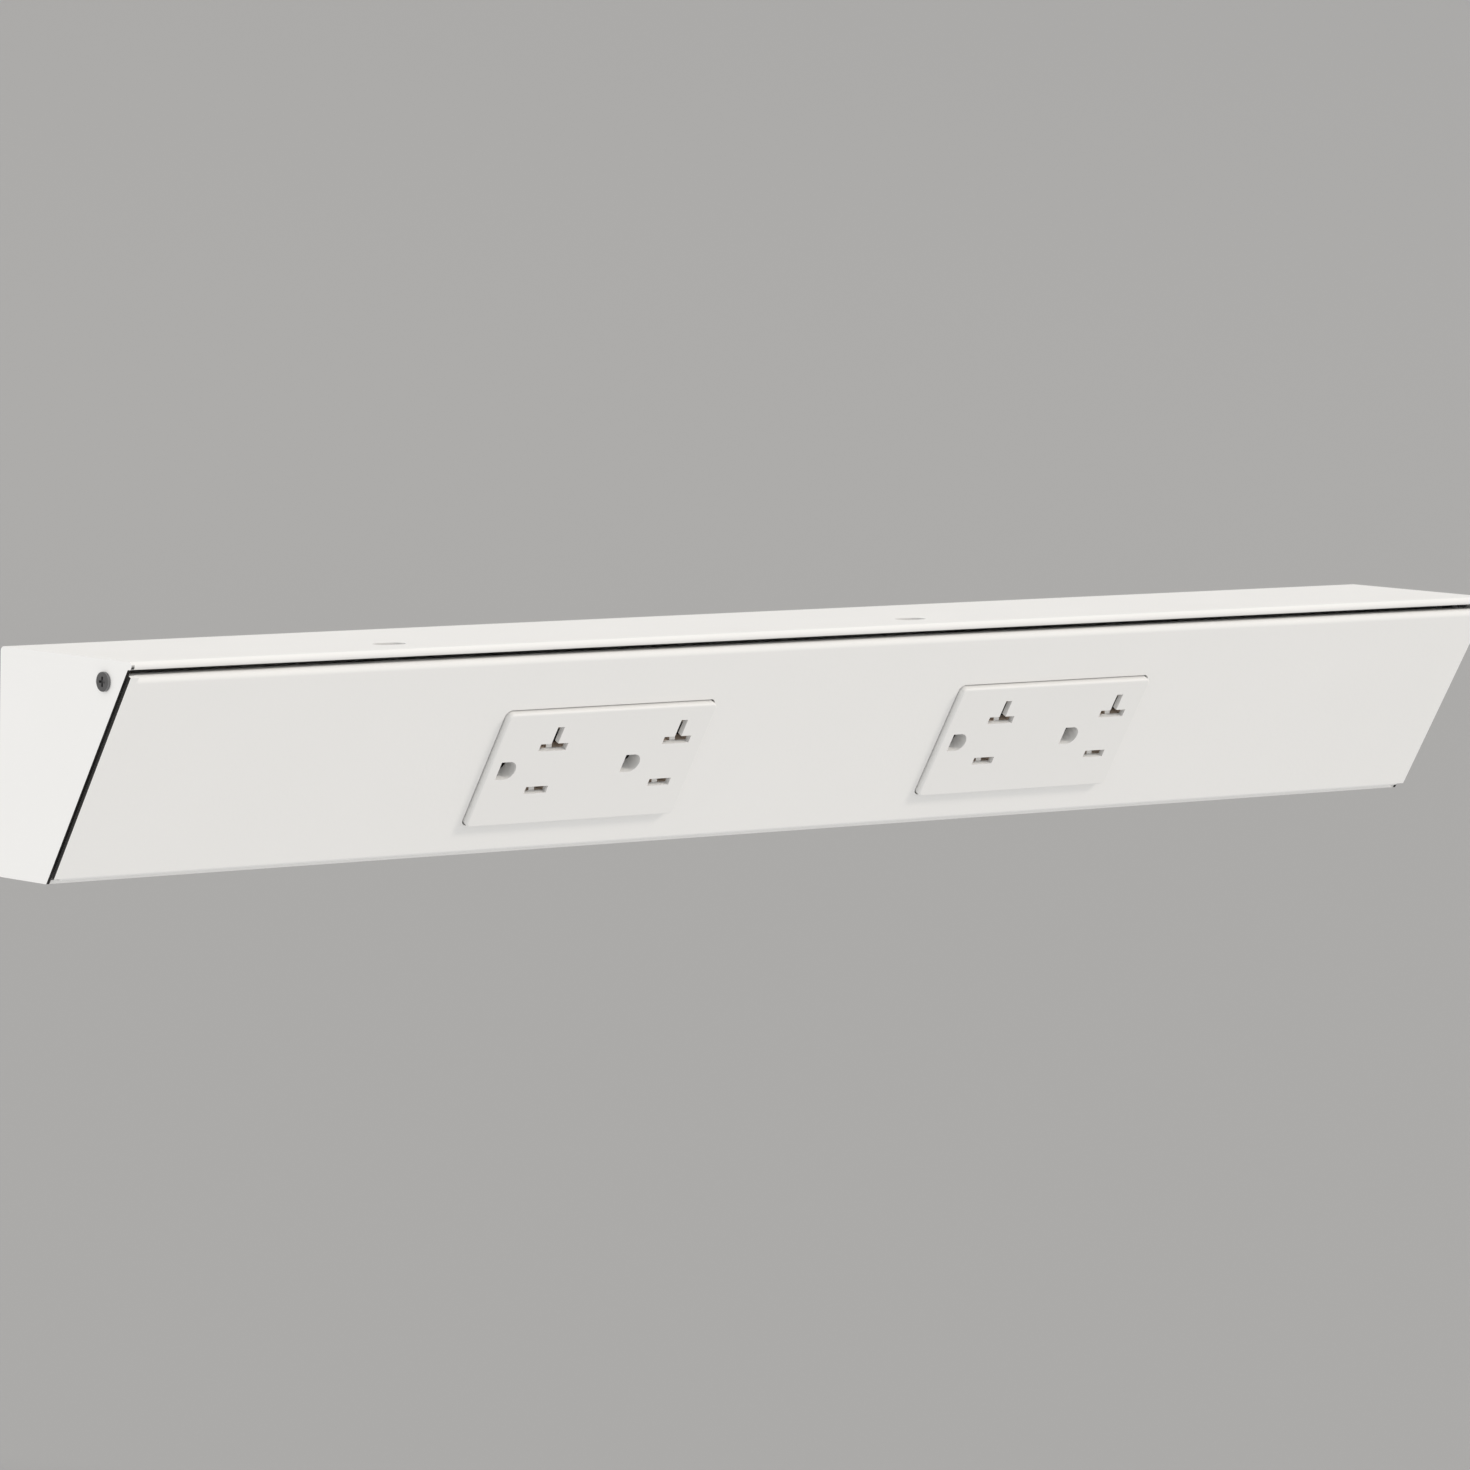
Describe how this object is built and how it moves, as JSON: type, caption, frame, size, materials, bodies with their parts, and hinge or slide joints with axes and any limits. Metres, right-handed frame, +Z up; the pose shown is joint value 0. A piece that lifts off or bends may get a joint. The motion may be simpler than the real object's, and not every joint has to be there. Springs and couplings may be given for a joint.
{
  "type": "under cabinet power strip",
  "caption": "Wedge-section sheet-metal power strip for the underside of a wall cabinet, with duplex receptacles in a front cover that leans back towards the wall.",
  "frame": {"origin": "middle of the top plate's outer face, which is screwed to the cabinet's underside", "axes": "+X along the strip to its right end as seen from the front, +Y towards the wall, +Z up"},
  "size_m": [0.4586, 0.0508, 0.0545],
  "materials": {
    "powder_coat": "white powder coat, satin, on folded steel sheet",
    "plated_screw": "nickel-plated steel screw",
    "zinc_steel": "zinc-plated steel",
    "strap_steel": "zinc-plated steel",
    "spring_steel": "bright spring wire",
    "face_plastic": "white moulded plastic, low gloss",
    "shutter_plastic": "white moulded plastic",
    "deck_plastic": "black moulded plastic",
    "body_plastic": "grey moulded plastic",
    "contact_brass": "rolled brass strip",
    "brass_screw": "brass",
    "nickel_screw": "nickel-plated brass",
    "green_screw": "green-dyed steel",
    "tinned_copper": "tinned copper",
    "copper": "bare copper wire",
    "black_insulation": "black wire insulation",
    "white_insulation": "white wire insulation",
    "green_insulation": "green wire insulation",
    "connector_plastic": "orange moulded plastic"
  },
  "bodies": {
    "strip": {"housing": "powder_coat", "left_end_plate": "powder_coat", "right_end_plate": "powder_coat", "front_cover": "powder_coat", "cover_screws": "plated_screw", "left_cover_bracket": "zinc_steel", "right_cover_bracket": "zinc_steel", "cover_nuts": "zinc_steel", "standoffs": "zinc_steel", "earth_screws": "green_screw", "ring_terminals": "tinned_copper", "copper_ends": "copper", "hot_jumper": "black_insulation", "hot_lead": "black_insulation", "neutral_jumper": "white_insulation", "neutral_lead": "white_insulation", "left_earth_lead": "green_insulation", "right_earth_lead": "green_insulation", "wire_connectors": "connector_plastic", "left_face": "face_plastic", "left_deck": "deck_plastic", "left_body": "body_plastic", "left_spring_1": "spring_steel", "left_spring_2": "spring_steel", "left_strap": "strap_steel", "left_hot_contact": "contact_brass", "left_neutral_contact": "contact_brass", "left_earth_contact": "contact_brass", "left_hot_screws": "brass_screw", "left_neutral_screws": "nickel_screw", "left_earth_screw": "green_screw", "left_strap_screws": "zinc_steel", "right_face": "face_plastic", "right_deck": "deck_plastic", "right_body": "body_plastic", "right_spring_1": "spring_steel", "right_spring_2": "spring_steel", "right_strap": "strap_steel", "right_hot_contact": "contact_brass", "right_neutral_contact": "contact_brass", "right_earth_contact": "contact_brass", "right_hot_screws": "brass_screw", "right_neutral_screws": "nickel_screw", "right_earth_screw": "green_screw", "right_strap_screws": "zinc_steel"},
    "left_shutter_1": {"left_shutter_1": "shutter_plastic"},
    "left_shutter_2": {"left_shutter_2": "shutter_plastic"},
    "right_shutter_1": {"right_shutter_1": "shutter_plastic"},
    "right_shutter_2": {"right_shutter_2": "shutter_plastic"}
  },
  "joints": [
    {"name": "left_shutter_1_slide", "type": "slide", "parent": "strip", "child": "left_shutter_1", "axis": [0, 0.5, -0.866], "range_m": [0, 0.003], "stiffness_N_per_m": 60, "springref_m": -0.002, "deforming": ["left_spring_1"]},
    {"name": "left_shutter_2_slide", "type": "slide", "parent": "strip", "child": "left_shutter_2", "axis": [0, 0.5, -0.866], "range_m": [0, 0.003], "stiffness_N_per_m": 60, "springref_m": -0.002, "deforming": ["left_spring_2"]},
    {"name": "right_shutter_1_slide", "type": "slide", "parent": "strip", "child": "right_shutter_1", "axis": [0, 0.5, -0.866], "range_m": [0, 0.003], "stiffness_N_per_m": 60, "springref_m": -0.002, "deforming": ["right_spring_1"]},
    {"name": "right_shutter_2_slide", "type": "slide", "parent": "strip", "child": "right_shutter_2", "axis": [0, 0.5, -0.866], "range_m": [0, 0.003], "stiffness_N_per_m": 60, "springref_m": -0.002, "deforming": ["right_spring_2"]}
  ]
}
